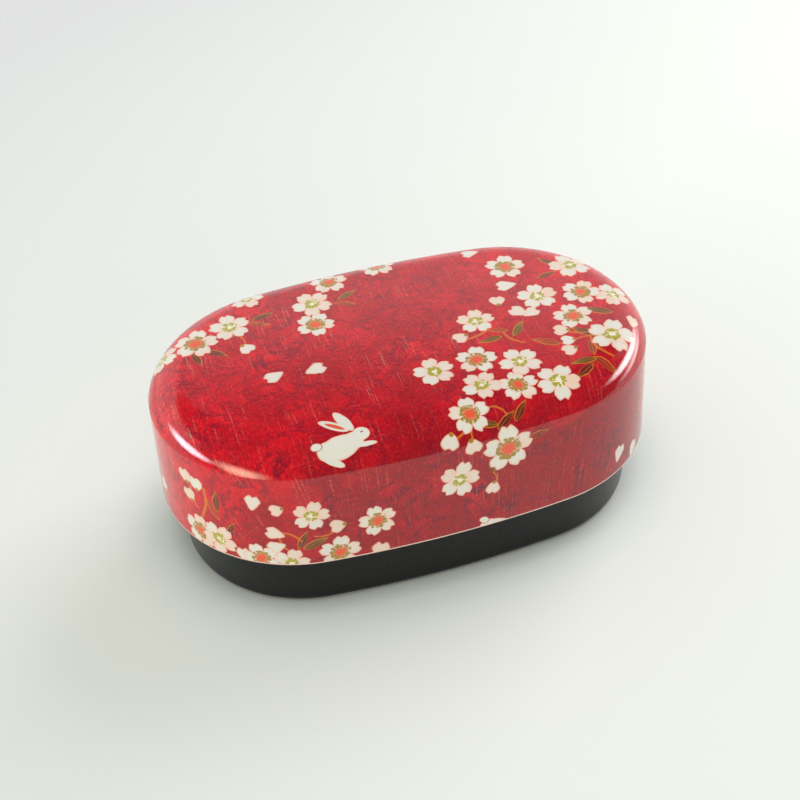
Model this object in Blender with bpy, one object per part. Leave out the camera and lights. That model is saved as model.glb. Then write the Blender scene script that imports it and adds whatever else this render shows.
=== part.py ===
"""One-tier oval lunch box: a black moulded tub, a loose divider, an inner lid that
seals in the tub's mouth, and a deep cap faced with printed cloth.

Lengths are in metres, +Z is up and +X runs along the box. The origin is the middle
of the underside, at table height. Every outline is the same oval of four arcs, so
each piece is a profile of (inset, height) points swept round those arcs: inset is
measured inwards from the widest outline, the lower edge of the cap.
"""
import math

import bmesh
import bpy
from mathutils import Matrix, Vector

# Widest outline, at the lower edge of the cap
LENGTH = 0.1750
WIDTH = 0.1054
SIDE_RADIUS = 0.3850

# Cap
HEIGHT = 0.0689
SKIRT_EDGE_HEIGHT = 0.0244
SHOULDER_RADIUS = 0.0127
SHOULDER_START = math.radians(20)
SKIRT_DRAFT = math.radians(1.9)
CLOTH_THICKNESS = 0.0004
SHELL_WALL = 0.0018
SKIRT_LEAD_IN = 0.0005

# Tub
BAND_FLARE = 0.0013
TUB_WALL = 0.0020
TUB_FLOOR = 0.0022
TUB_DRAFT = math.radians(1.6)
FOOT_EDGE_RADIUS = 0.0031
FOOT_RING_WIDTH = 0.0040
FOOT_RECESS_DEPTH = 0.0008
FLOOR_FILLET_RADIUS = 0.0080
RIM_ROUND = 0.0005

# Inner lid
FLANGE_SETBACK = 0.0002
FLANGE_THICKNESS = 0.0016
FLANGE_ROUND = 0.0004
PLUG_DEPTH = 0.0080
PLUG_WALL = 0.0014
PLUG_FILLET = 0.0020
PANEL_THICKNESS = 0.0016
PANEL_EDGE_WIDTH = 0.0080
PANEL_STEP = 0.0010
GRIP_LENGTH = 0.0320
GRIP_THICKNESS = 0.0024
GRIP_PROUD = 0.0005
GRIP_CORNER_RADIUS = 0.0045

# Gasket in the groove of the inner lid's plug
GASKET_HEIGHT = 0.0034
GASKET_BASE = 0.0011
GASKET_LIP_REACH = 0.0008
GASKET_LIP_HEIGHT = 0.0009

# Divider
DIVIDER_PLACE = 0.0180
DIVIDER_HEADROOM = 0.0087
DIVIDER_WEB = 0.0014
DIVIDER_FLANGE_LENGTH = 0.0160
DIVIDER_FLANGE_WALL = 0.0012
DIVIDER_BEAD_RADIUS = 0.0014
DIVIDER_BEAD_DROP = 0.0010

# Clearances
BOND_GAP = 0.0003
SEAT_GAP = 0.0003
CAP_CLEARANCE = 0.0006
BAND_CLEARANCE = 0.0019
PLUG_CLEARANCE = 0.0005
DIVIDER_CLEARANCE = 0.0005

# Fineness of the facets
END_STEPS = 14
SIDE_STEPS = 6
SHOULDER_STEPS = 8
FILLET_STEPS = 6
EDGE_STEPS = 2
ROD_SEGMENTS = 14
SHARP_ANGLE = math.radians(30)
MERGE_DISTANCE = 0.000001

# The outline's four arcs: two long, gently bowed sides and two round ends that run
# into them without a corner
HALF_LENGTH = LENGTH / 2
HALF_WIDTH = WIDTH / 2
END_RADIUS = (2 * SIDE_RADIUS * HALF_WIDTH - HALF_LENGTH**2 - HALF_WIDTH**2) / (
    2 * (SIDE_RADIUS - HALF_LENGTH)
)
END_CENTRE = HALF_LENGTH - END_RADIUS
SIDE_CENTRE = SIDE_RADIUS - HALF_WIDTH
SIDE_HALF_ANGLE = math.asin(END_CENTRE / (SIDE_RADIUS - END_RADIUS))
END_HALF_ANGLE = math.pi / 2 - SIDE_HALF_ANGLE

# The cap's shoulder rises from a soft crease at the top of the skirt; the tub and inner
# lid fit the inside of the cap
CAP_WALL = CLOTH_THICKNESS + BOND_GAP + SHELL_WALL
SHOULDER_HEIGHT = HEIGHT - SHOULDER_RADIUS
CREASE_HEIGHT = SHOULDER_HEIGHT + math.sin(SHOULDER_START) * SHOULDER_RADIUS
CREASE_INSET = math.tan(SKIRT_DRAFT) * (CREASE_HEIGHT - SKIRT_EDGE_HEIGHT)
SHOULDER_CENTRE_INSET = CREASE_INSET + math.cos(SHOULDER_START) * SHOULDER_RADIUS
BAND_INSET_TOP = CAP_WALL + BAND_CLEARANCE
BAND_INSET_FOOT = BAND_INSET_TOP + BAND_FLARE
RIM_INSET = CREASE_INSET + CAP_WALL + CAP_CLEARANCE
FLANGE_INSET = RIM_INSET + FLANGE_SETBACK

# The cap comes to rest with the inside of its shoulder on the flange's outer edge
FLANGE_TOP = SHOULDER_HEIGHT + math.sqrt(
    (SHOULDER_RADIUS - CAP_WALL - SEAT_GAP) ** 2 - (SHOULDER_CENTRE_INSET - FLANGE_INSET) ** 2
)
FLANGE_BOTTOM = FLANGE_TOP - FLANGE_THICKNESS
RIM_HEIGHT = FLANGE_BOTTOM - SEAT_GAP
PLUG_BOTTOM = FLANGE_BOTTOM - PLUG_DEPTH
GROOVE_MIDDLE = FLANGE_BOTTOM - PLUG_DEPTH / 2
FLOOR_HEIGHT = FOOT_RECESS_DEPTH + TUB_FLOOR


def bore_inset(height):
    """Inset of the tub's inner wall at a height: it opens towards the rim by its draft."""
    return RIM_INSET + TUB_WALL + math.tan(TUB_DRAFT) * (RIM_HEIGHT - height)


GASKET_LIP_INSET = bore_inset(PLUG_BOTTOM) + SEAT_GAP
GASKET_BASE_INSET = GASKET_LIP_INSET + GASKET_LIP_REACH
GASKET_BACK_INSET = GASKET_BASE_INSET + GASKET_BASE


def arc(centre_inset, centre_height, radius, start_degrees, end_degrees, steps):
    """Profile points along a round; 0 degrees points outwards and 90 degrees up."""
    points = []
    for step in range(steps + 1):
        angle = math.radians(start_degrees + (end_degrees - start_degrees) * step / steps)
        inset = centre_inset - radius * math.cos(angle)
        points.append((inset, centre_height + radius * math.sin(angle)))
    return points


def sweep_round_outline(name, profile, is_ring=False):
    """Sweep a profile round the four arcs; one that is no ring gets flat middles."""
    shape = bmesh.new()
    verts = [shape.verts.new((HALF_LENGTH - inset, 0.0, height)) for inset, height in profile]
    edges = [shape.edges.new(pair) for pair in zip(verts, verts[1:])]
    if is_ring:
        edges.append(shape.edges.new((verts[-1], verts[0])))
    turns = (
        (END_CENTRE, 0.0, END_HALF_ANGLE, END_STEPS),
        (0.0, -SIDE_CENTRE, 2 * SIDE_HALF_ANGLE, SIDE_STEPS),
        (-END_CENTRE, 0.0, 2 * END_HALF_ANGLE, 2 * END_STEPS),
        (0.0, SIDE_CENTRE, 2 * SIDE_HALF_ANGLE, SIDE_STEPS),
        (END_CENTRE, 0.0, END_HALF_ANGLE, END_STEPS),
    )
    section = verts + edges
    for centre_x, centre_y, angle, steps in turns:
        swept = bmesh.ops.spin(
            shape,
            geom=section,
            cent=(centre_x, centre_y, 0.0),
            axis=(0.0, 0.0, 1.0),
            angle=angle,
            steps=steps,
        )
        section = swept["geom_last"]
    bmesh.ops.remove_doubles(shape, verts=shape.verts, dist=MERGE_DISTANCE)
    if not is_ring:
        open_edges = [edge for edge in shape.edges if edge.is_boundary]
        bmesh.ops.edgeloop_fill(shape, edges=open_edges)
    bmesh.ops.recalc_face_normals(shape, faces=shape.faces)
    return mesh_from(shape, name)


def mesh_from(shape, name):
    """Turn an edited shape into a mesh and free it."""
    mesh = bpy.data.meshes.new(name)
    shape.to_mesh(mesh)
    shape.free()
    return mesh


def finish(name, colour, roughness):
    """A moulded or laid finish: one Principled BSDF with a colour and a roughness."""
    material = bpy.data.materials.new(name)
    material.use_nodes = True
    shader = material.node_tree.nodes["Principled BSDF"]
    shader.inputs["Base Color"].default_value = (*colour, 1.0)
    shader.inputs["Roughness"].default_value = roughness
    shader.inputs["Metallic"].default_value = 0.0
    return material


def world_place(piece):
    """Where a piece's origin lies in the box's own frame."""
    where = Vector((0.0, 0.0, 0.0))
    while piece:
        where += piece.location
        piece = piece.parent
    return where


def place(name, mesh, material, parent, seat):
    """Put a mesh in the scene as one named piece whose origin is where it seats."""
    mesh.transform(Matrix.Translation(-Vector(seat)))
    mesh.materials.append(material)
    mesh.shade_smooth()
    mesh.set_sharp_from_angle(angle=SHARP_ANGLE)
    piece = bpy.data.objects.new(name, mesh)
    piece.parent = parent
    piece.location = Vector(seat) - world_place(parent)
    bpy.context.scene.collection.objects.link(piece)
    return piece


def cutter(name, mesh):
    """A shape that only cuts, joins or crops another: hidden from the render."""
    tool = bpy.data.objects.new(name, mesh)
    tool.hide_render = True
    tool.display_type = "WIRE"
    bpy.context.scene.collection.objects.link(tool)
    return tool


def boolean(piece, tool, operation):
    """Join, cut or crop a piece by a tool with the exact solver."""
    modifier = piece.modifiers.new(tool.name, "BOOLEAN")
    modifier.operation = operation
    modifier.solver = "EXACT"
    modifier.object = tool


def block(middle, size):
    """A closed block of a size about its middle."""
    shape = bmesh.new()
    bmesh.ops.create_cube(shape, size=1.0)
    bmesh.ops.scale(shape, vec=size, verts=shape.verts)
    bmesh.ops.translate(shape, vec=middle, verts=shape.verts)
    return shape


def rod(middle, radius, length):
    """A closed round rod about its middle, lying along Y."""
    shape = bmesh.new()
    bmesh.ops.create_cone(
        shape, cap_ends=True, segments=ROD_SEGMENTS, radius1=radius, radius2=radius, depth=length
    )
    bmesh.ops.rotate(shape, matrix=Matrix.Rotation(math.pi / 2, 3, "X"), verts=shape.verts)
    bmesh.ops.translate(shape, vec=middle, verts=shape.verts)
    return shape


def tub_bore(clearance, top):
    """The tub's inner surface, drawn in by a clearance, from a top height to the floor."""
    fillet_height = FLOOR_HEIGHT + FLOOR_FILLET_RADIUS
    fillet_inset = bore_inset(fillet_height) + FLOOR_FILLET_RADIUS
    radius = FLOOR_FILLET_RADIUS - clearance
    wall_top = (bore_inset(top) + clearance, top)
    return [wall_top] + arc(fillet_inset, fillet_height, radius, 0, -90, FILLET_STEPS)


def make_container(material):
    """Black tub: foot ring, flared lower band, upright wall inside the cap, round floor."""
    foot_inset = BAND_INSET_FOOT + FOOT_EDGE_RADIUS
    ring_inset = foot_inset + FOOT_RING_WIDTH
    recess = (ring_inset + FOOT_RECESS_DEPTH, FOOT_RECESS_DEPTH)
    foot_round = arc(foot_inset, FOOT_EDGE_RADIUS, FOOT_EDGE_RADIUS, -90, 0, FILLET_STEPS)
    band_top = (BAND_INSET_TOP, SKIRT_EDGE_HEIGHT)
    round_height = RIM_HEIGHT - RIM_ROUND
    rim_outer = arc(RIM_INSET + RIM_ROUND, round_height, RIM_ROUND, 0, 90, EDGE_STEPS)
    rim_inner = arc(bore_inset(round_height) - RIM_ROUND, round_height, RIM_ROUND, 90, 180, EDGE_STEPS)
    outside = [recess, (ring_inset, 0.0)] + foot_round + [band_top]
    inside = tub_bore(0.0, round_height)[1:]
    mesh = sweep_round_outline("container", outside + rim_outer + rim_inner + inside)
    return place("container", mesh, material, None, (0.0, 0.0, 0.0))


def make_divider(material, container):
    """Loose partition cut to the tub's section: a web, a flange round it, a beaded top.

    The tub's inside is cropped to the flange's length, and the space inside the flange
    is taken out on both sides of the web and under the bead.
    """
    top = PLUG_BOTTOM - DIVIDER_HEADROOM
    middle = (DIVIDER_PLACE, 0.0, top / 2)
    seat = (DIVIDER_PLACE, 0.0, FLOOR_HEIGHT)
    mesh = sweep_round_outline("divider", tub_bore(DIVIDER_CLEARANCE, top))
    divider = place("divider", mesh, material, container, seat)
    flange_block = block(middle, (DIVIDER_FLANGE_LENGTH, WIDTH, 2 * top))
    crop = cutter("divider_flange_block", mesh_from(flange_block, "divider_flange_block"))
    boolean(divider, crop, "INTERSECT")

    flange_inside = tub_bore(DIVIDER_CLEARANCE + DIVIDER_FLANGE_WALL, 2 * top)
    space = cutter("divider_space", sweep_round_outline("divider_space", flange_inside))
    web_block = block(middle, (DIVIDER_WEB, WIDTH, 2 * top))
    web = cutter("divider_web_block", mesh_from(web_block, "divider_web_block"))
    bead_rod = rod((DIVIDER_PLACE, 0.0, top - DIVIDER_BEAD_DROP), DIVIDER_BEAD_RADIUS, WIDTH)
    bead = cutter("divider_bead_rod", mesh_from(bead_rod, "divider_bead_rod"))
    boolean(space, web, "DIFFERENCE")
    boolean(space, bead, "DIFFERENCE")
    boolean(divider, space, "DIFFERENCE")
    return divider


def make_inner_lid(material, divider):
    """Drop-in lid: flange on the rim, grooved plug, sunk panel and a grip to lift it by."""
    plug_inset = bore_inset(PLUG_BOTTOM) + PLUG_CLEARANCE
    groove_inset = GASKET_BACK_INSET + SEAT_GAP
    groove_top = GROOVE_MIDDLE + GASKET_HEIGHT / 2 + SEAT_GAP
    groove_bottom = GROOVE_MIDDLE - GASKET_HEIGHT / 2 - SEAT_GAP
    recess_inset = groove_inset + PLUG_WALL
    fillet_inset = recess_inset + PLUG_FILLET
    panel_top = PLUG_BOTTOM + PANEL_THICKNESS
    field_top = panel_top + PANEL_STEP
    step_start = fillet_inset + PANEL_EDGE_WIDTH
    step_end = step_start + PANEL_STEP
    under_start = step_start + PANEL_THICKNESS / 2
    under_end = under_start + PANEL_STEP
    round_height = FLANGE_TOP - FLANGE_ROUND
    recess_foot = arc(fillet_inset, panel_top + PLUG_FILLET, PLUG_FILLET, -90, 0, FILLET_STEPS)
    recess_edge = arc(recess_inset - FLANGE_ROUND, round_height, FLANGE_ROUND, 180, 90, EDGE_STEPS)
    flange_edge = arc(FLANGE_INSET + FLANGE_ROUND, round_height, FLANGE_ROUND, 90, 0, EDGE_STEPS)
    panel = [(step_end, field_top), (step_start, panel_top)]
    under_side = [
        (FLANGE_INSET, FLANGE_BOTTOM),
        (plug_inset, FLANGE_BOTTOM),
        (plug_inset, groove_top),
        (groove_inset, groove_top),
        (groove_inset, groove_bottom),
        (plug_inset, groove_bottom),
        (plug_inset, PLUG_BOTTOM + FLANGE_ROUND),
        (plug_inset + FLANGE_ROUND, PLUG_BOTTOM),
        (under_start, PLUG_BOTTOM),
        (under_end, PLUG_BOTTOM + PANEL_STEP),
    ]
    profile = panel + recess_foot + recess_edge + flange_edge + under_side
    mesh = sweep_round_outline("inner_lid", profile)
    lid = place("inner_lid", mesh, material, divider, (0.0, 0.0, RIM_HEIGHT))
    grip_mesh = make_grip(field_top - PANEL_THICKNESS / 2, FLANGE_TOP + GRIP_PROUD)
    boolean(lid, cutter("inner_lid_grip", grip_mesh), "UNION")
    return lid


def make_grip(base, top):
    """Upright finger grip across the middle of the inner lid, with round upper corners."""
    middle_height = (base + top) / 2
    shape = block((0.0, 0.0, middle_height), (GRIP_THICKNESS, GRIP_LENGTH, top - base))
    corners = []
    for edge in shape.edges:
        start, end = (vert.co for vert in edge.verts)
        if min(start.z, end.z) > middle_height and start.y * end.y > 0:
            corners.append(edge)
    bmesh.ops.bevel(
        shape,
        geom=corners,
        offset=GRIP_CORNER_RADIUS,
        segments=FILLET_STEPS,
        profile=0.5,
        affect="EDGES",
    )
    return mesh_from(shape, "inner_lid_grip")


def make_inner_lid_gasket(material, inner_lid):
    """Silicone ring in the plug's groove, with two lips that wipe the tub's wall."""
    low = GROOVE_MIDDLE - GASKET_HEIGHT / 2
    high = GROOVE_MIDDLE + GASKET_HEIGHT / 2
    profile = [
        (GASKET_BACK_INSET, low),
        (GASKET_BASE_INSET, low),
        (GASKET_LIP_INSET, low + GASKET_LIP_HEIGHT / 2),
        (GASKET_BASE_INSET, low + GASKET_LIP_HEIGHT),
        (GASKET_BASE_INSET, high - GASKET_LIP_HEIGHT),
        (GASKET_LIP_INSET, high - GASKET_LIP_HEIGHT / 2),
        (GASKET_BASE_INSET, high),
        (GASKET_BACK_INSET, high),
    ]
    mesh = sweep_round_outline("inner_lid_gasket", profile, is_ring=True)
    return place("inner_lid_gasket", mesh, material, inner_lid, (0.0, 0.0, GROOVE_MIDDLE))


def cap_skin(depth, rise=0.0):
    """One skin of the cap, from its lower edge over the crease to the flat top.

    depth is how far the skin lies inside the outermost surface, and rise is how far
    above the skirt's lower edge it starts.
    """
    edge = (depth + math.tan(SKIRT_DRAFT) * rise, SKIRT_EDGE_HEIGHT + rise)
    radius = SHOULDER_RADIUS - depth
    start = math.degrees(math.acos((SHOULDER_CENTRE_INSET - CREASE_INSET - depth) / radius))
    return [edge] + arc(SHOULDER_CENTRE_INSET, SHOULDER_HEIGHT, radius, start, 90, SHOULDER_STEPS)


def make_lid_shell(material, inner_lid):
    """Deep moulded cap under the cloth, with a lead-in at the mouth of its skirt."""
    outside = cap_skin(CLOTH_THICKNESS + BOND_GAP)[::-1]
    mouth = [(CAP_WALL - SKIRT_LEAD_IN, SKIRT_EDGE_HEIGHT)]
    inside = cap_skin(CAP_WALL, SKIRT_LEAD_IN)
    mesh = sweep_round_outline("lid_shell", outside + mouth + inside)
    return place("lid_shell", mesh, material, inner_lid, (0.0, 0.0, FLANGE_TOP))


def make_lid_cloth(material, lid_shell):
    """Printed cotton drawn over the cap in one piece and trimmed at the skirt's edge."""
    outside = cap_skin(0.0)[::-1]
    inside = cap_skin(CLOTH_THICKNESS)
    mesh = sweep_round_outline("lid_cloth", outside + inside)
    return place("lid_cloth", mesh, material, lid_shell, (0.0, 0.0, SKIRT_EDGE_HEIGHT))


for leftover in list(bpy.data.objects):
    bpy.data.objects.remove(leftover, do_unlink=True)

bpy.context.scene.unit_settings.system = "METRIC"

tub_black = finish("satin black urethane on ABS", (0.012, 0.012, 0.012), 0.38)
cap_black = finish("moulded black ABS", (0.016, 0.015, 0.015), 0.45)
lid_milky = finish("milky polypropylene", (0.78, 0.79, 0.77), 0.40)
divider_milky = finish("milky polyethylene", (0.74, 0.76, 0.75), 0.45)
gasket_clear = finish("translucent silicone", (0.70, 0.72, 0.72), 0.50)
cloth_red = finish("printed cotton under clear urethane", (0.45, 0.010, 0.016), 0.12)

tub = make_container(tub_black)
partition = make_divider(divider_milky, tub)
seal_lid = make_inner_lid(lid_milky, partition)
make_inner_lid_gasket(gasket_clear, seal_lid)
cap_shell = make_lid_shell(cap_black, seal_lid)
make_lid_cloth(cloth_red, cap_shell)
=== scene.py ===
import math

import bpy
import numpy as np
from mathutils import Matrix, Vector


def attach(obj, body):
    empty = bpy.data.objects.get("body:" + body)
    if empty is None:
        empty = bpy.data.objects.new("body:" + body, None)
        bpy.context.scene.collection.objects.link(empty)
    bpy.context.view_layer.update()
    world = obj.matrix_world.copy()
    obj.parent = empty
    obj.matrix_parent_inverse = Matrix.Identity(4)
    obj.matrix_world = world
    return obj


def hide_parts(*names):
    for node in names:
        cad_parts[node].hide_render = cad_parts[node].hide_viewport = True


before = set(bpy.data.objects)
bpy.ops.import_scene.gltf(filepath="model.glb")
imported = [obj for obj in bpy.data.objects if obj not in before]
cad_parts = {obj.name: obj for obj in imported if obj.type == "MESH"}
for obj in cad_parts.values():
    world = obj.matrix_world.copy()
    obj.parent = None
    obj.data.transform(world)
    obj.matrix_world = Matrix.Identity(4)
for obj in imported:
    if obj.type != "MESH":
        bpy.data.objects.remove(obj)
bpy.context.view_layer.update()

# Studio: a pale table, a large soft lamp at the back right, a softly lit room, and a
# camera that looks down on the box's front. The box stands with its long front side
# towards the camera.
MM = 0.001
CAMERA_AIM = Vector((0.9, 7.3, 35.0)) * MM
CAMERA_DISTANCE = 473.9 * MM
CAMERA_AZIMUTH = math.radians(-15.31)
CAMERA_ELEVATION = math.radians(39.78)
CAMERA_ROLL = math.radians(-3.44)
LENS = 59.57

scene = bpy.context.scene
scene.view_settings.view_transform = "Standard"

camera_turn = (
    Matrix.Rotation(CAMERA_AZIMUTH, 3, "Z")
    @ Matrix.Rotation(math.pi / 2 - CAMERA_ELEVATION, 3, "X")
    @ Matrix.Rotation(CAMERA_ROLL, 3, "Z")
)
bpy.ops.object.camera_add(location=CAMERA_AIM + camera_turn @ Vector((0, 0, CAMERA_DISTANCE)))
camera = bpy.context.object
camera.rotation_euler = camera_turn.to_euler()
camera.data.lens = LENS
camera.data.sensor_width = 36
camera.data.clip_start = 0.01
scene.camera = camera


def linear(hex_colour, alpha=1.0):
    """An sRGB hex colour as linear values, as the shader sockets take it."""
    channels = [int(hex_colour[i:i + 2], 16) / 255 for i in (1, 3, 5)]
    return [c / 12.92 if c <= 0.04045 else ((c + 0.055) / 1.055) ** 2.4 for c in channels] + [alpha]


def add(tree, kind, links, **settings):
    """Add one node: its kind and, for some, its operation; its settings by name; its inputs
    by name or number. An input is a value, a socket, or a node whose first output is meant."""
    kind, *operation = kind.split()
    node = tree.nodes.new("ShaderNode" + kind)
    if operation:
        node.operation = operation[0]
    for setting, value in settings.items():
        setattr(node, setting, value)
    for place, value in links.items() if isinstance(links, dict) else enumerate(links):
        if isinstance(value, bpy.types.Node):
            value = next(output for output in value.outputs if output.enabled)
        if isinstance(value, bpy.types.NodeSocket):
            tree.links.new(value, node.inputs[place])
        elif value is not None:
            node.inputs[place].default_value = value
    return node


def over(tree, below, mask, colour, *span):
    """Lay one colour over another where a mask is 1. With a span, which is the start and
    end of a value and the mask there, the mask is made from that value."""
    if span:
        mask = add(tree, "MapRange", [mask, *span])
    return add(tree, "Mix", {0: mask, 6: below, 7: colour}, data_type="RGBA")


def new_material(name):
    """A new material and its node tree, which is still empty."""
    material = bpy.data.materials.new(name)
    material.use_nodes = True
    material.node_tree.nodes.clear()
    return material, material.node_tree


# The table is painted board, faintly uneven. Its colour is made paler towards the right as painted
# light from the lamp, and greyer towards the back left as painted shade.
TABLE_SIZE = 6
bpy.ops.object.select_all(action="DESELECT")
bpy.ops.mesh.primitive_plane_add(size=TABLE_SIZE)
table = bpy.context.object
table.name = "table"
board, tree = new_material("painted board")
place = add(tree, "TexCoord", {}).outputs["Object"]
# painted light: the board's colour is made paler towards the right
across = add(tree, "VectorMath DOT_PRODUCT", [place, (0.92, 0.38, 0.0)])
mottle = add(tree, "TexNoise", {"Vector": place, "Scale": 5.0, "Detail": 2.0})
across = add(tree, "Math MULTIPLY_ADD", [mottle, 0.08, across])
tone = over(tree, linear("#e1e1e1"), across, linear("#f7f6f7"), -0.22, 0.42, 0.0, 1.0)
# painted shade: the board's colour is made greyer towards the back left
painted_back_shade = add(tree, "VectorMath DOT_PRODUCT", [place, (-0.5, 0.85, 0.0)])
tone = over(tree, tone, painted_back_shade, linear("#dbd8df"), 0.05, 0.45, 0.0, 1.0)
paint = add(tree, "BsdfDiffuse", {"Color": tone})
add(tree, "OutputMaterial", {"Surface": paint})
table.data.materials.append(board)

# The room lights what is matt softly, most from straight overhead, and warmly from low in
# front and at the left. What is glossy mirrors a pale wall behind the box, which ends at a
# dim ceiling, a dim room in front of the box, and four soft windows.
world = bpy.data.worlds.new("studio room")
world.use_nodes = True
scene.world = world
tree = world.node_tree
tree.nodes.clear()
way = add(tree, "TexCoord", {}).outputs["Generated"]
right, back, up = add(tree, "SeparateXYZ", [way]).outputs
SOFT = {"interpolation_type": "SMOOTHSTEP"}
low = add(tree, "MapRange", [up, 0.566, 0.656, 1.0, 0.0], **SOFT)
behind = add(tree, "MapRange", [back, 0.0, 0.35, 0.0, 1.0], **SOFT)
wall = add(tree, "Math MULTIPLY", [low, behind])
wall = add(tree, "Math MULTIPLY_ADD", [wall, 1.15, 0.02])
mirrored = add(tree, "VectorMath SCALE", {0: linear("#fbfcfa")[:3], "Scale": wall})


def add_window(azimuth, elevation, tilt, half_width, half_height, soft, brightness, colour):
    """The mirrored light with one more soft oval window: its middle by azimuth from +X and
    elevation, its half sizes along and across a tilted axis, all in degrees."""
    azimuth, elevation, tilt = (math.radians(turn) for turn in (azimuth, elevation, tilt))
    aside = Vector((-math.sin(azimuth), math.cos(azimuth), 0))
    above = Vector((-math.cos(azimuth), -math.sin(azimuth), 0)) * math.sin(elevation)
    above.z = math.cos(elevation)
    toward = above.cross(aside) * -1
    long = aside * math.cos(tilt) + above * math.sin(tilt)
    high = above * math.cos(tilt) - aside * math.sin(tilt)
    reach = []
    for axis, half in ((long, half_width), (high, half_height)):
        scaled = axis / math.sin(math.radians(half))
        scaled = add(tree, "VectorMath DOT_PRODUCT", [way, scaled])
        reach.append(scaled)
    reach = add(tree, "CombineXYZ", reach)
    reach = add(tree, "VectorMath LENGTH", [reach])
    glow = add(tree, "MapRange", [reach, 1.0 - soft, 1.0, brightness, 0.0], **SOFT)
    facing = add(tree, "VectorMath DOT_PRODUCT", [way, toward])
    facing = add(tree, "Math GREATER_THAN", [facing, 0.0])
    glow = add(tree, "Math MULTIPLY", [glow, facing])
    glow = add(tree, "VectorMath SCALE", {0: linear(colour)[:3], "Scale": glow})
    return add(tree, "VectorMath ADD", [mirrored, glow])


# a cool and a warm window at the left, and a bright one over a broad faint one at the right
mirrored = add_window(171, 13, -5, 27, 10, 0.7, 20, "#f0f4ff")
mirrored = add_window(-146, 11, -22, 28, 15, 0.9, 13, "#ffe4c4")
mirrored = add_window(3, 17, -14, 32, 9.5, 0.8, 18, "#ffffff")
mirrored = add_window(5, 2, 0, 30, 10, 0.9, 7, "#ffffff")
overhead = add(tree, "VectorMath DOT_PRODUCT", [way, (0.0, -0.10, 0.99)])
overhead = add(tree, "MapRange", [overhead, 0.90, 1.0, 0.41, 4.7], **SOFT)
level = add(tree, "MapRange", [up, 0.0, 0.50, 1.0, 0.0], **SOFT)
front = add(tree, "MapRange", [back, -1.0, -0.3, 2.0, 0.0], **SOFT)
left = add(tree, "MapRange", [right, -1.0, -0.5, 5.0, 0.0], **SOFT)
sides = add(tree, "Math ADD", [front, left])
low = add(tree, "Math MULTIPLY", [sides, level])
low = add(tree, "VectorMath SCALE", {0: linear("#f5f5da")[:3], "Scale": low})
overhead = add(tree, "VectorMath SCALE", {0: linear("#f6fff6")[:3], "Scale": overhead})
fill = add(tree, "VectorMath ADD", [low, overhead])
ray = add(tree, "LightPath", {})
seen = over(tree, fill, ray.outputs["Is Glossy Ray"], mirrored)
seen = over(tree, seen, ray.outputs["Is Camera Ray"], linear("#f7f8f5"))
light = add(tree, "Background", {"Color": seen})
add(tree, "OutputWorld", {"Surface": light})

# The main light comes from a large soft lamp at the back right.
LAMP_AZIMUTH = math.radians(30)
LAMP_ELEVATION = math.radians(31)
LAMP_DISTANCE = 6
LAMP_SIZE = 4
LAMP_POWER = 184
lamp_way = Vector((math.cos(LAMP_AZIMUTH), math.sin(LAMP_AZIMUTH), math.tan(LAMP_ELEVATION)))
bpy.ops.object.light_add(type="AREA", location=lamp_way.normalized() * LAMP_DISTANCE)
lamp = bpy.context.object
lamp.name = "large soft lamp"
lamp.rotation_euler = lamp_way.to_track_quat("Z", "Y").to_euler()
lamp.data.shape = "SQUARE"
lamp.data.size = LAMP_SIZE
lamp.data.energy = LAMP_POWER
lamp.data.color = linear("#fffafa")[:3]
lamp.visible_glossy = False

# Tub: ABS moulded in one piece and sprayed with a satin black urethane. Its lower band
# narrows a little down to a rounded foot ring; the wall above it stands inside the cap,
# and the bore is drafted so that the tub leaves its mould.
END_RADIUS = 50.665
END_CENTRE = 36.835
SIDE_RADIUS = 385.0
SIDE_CENTRE = 332.3
SIDE_HALF_ANGLE = math.asin(END_CENTRE / (SIDE_RADIUS - END_RADIUS))
END_HALF_ANGLE = math.pi / 2 - SIDE_HALF_ANGLE
SKIRT_EDGE = 24.4
WALL = 2.0
RIM_INSET = 4.299
RIM_HEIGHT = 59.144
RIM_ROUND = 0.5
BORE_DRAFT = math.tan(math.radians(1.6))
FLOOR_TOP = 3.0
FLOOR_ROUND = 8.0
BAND_INSET = 4.4
FOOT_INSET = 5.7
FOOT_ROUND = 3.1
FOOT_RECESS = 0.8
FOOT_RING = 4.0
SMOOTH_ANGLE = math.radians(35)


def arc(inset, height, radius, start, end, steps):
    """Profile points round a centre: 0 degrees points outwards and 90 degrees up."""
    turns = [math.radians(start + (end - start) * step / steps) for step in range(steps + 1)]
    return [(inset - radius * math.cos(turn), height + radius * math.sin(turn)) for turn in turns]


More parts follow.
